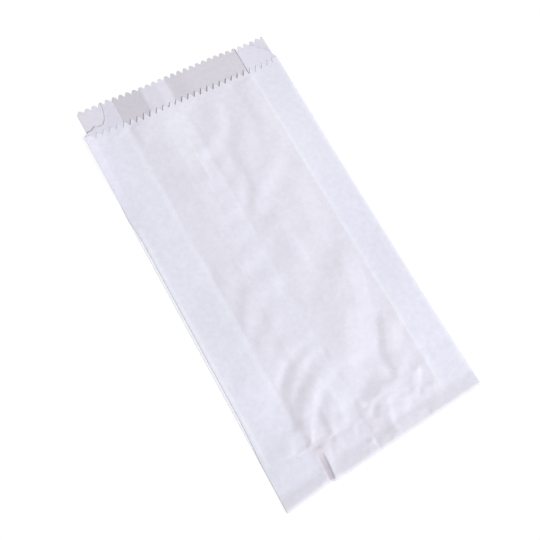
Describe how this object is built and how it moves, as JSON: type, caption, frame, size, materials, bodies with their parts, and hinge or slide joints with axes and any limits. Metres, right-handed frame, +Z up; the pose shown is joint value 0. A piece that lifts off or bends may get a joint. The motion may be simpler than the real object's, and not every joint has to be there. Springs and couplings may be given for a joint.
{
  "type": "paper bag",
  "caption": "Flat white paper satchel bag with side gussets, a serrated mouth and a folded, glued bottom, lying empty.",
  "frame": {"origin": "centre of the footprint of the flat bag, on the surface it lies on", "axes": "+Y along the bag towards its serrated mouth, +X across it to the right seen from above, +Z up out of the short front panel"},
  "size_m": [0.1652, 0.32, 0.0041],
  "materials": {
    "bag_paper": "thin white machine-glazed bag paper, slightly translucent, cool white"
  },
  "bodies": {
    "root": {"paper_bag": "bag_paper"}
  },
  "joints": []
}
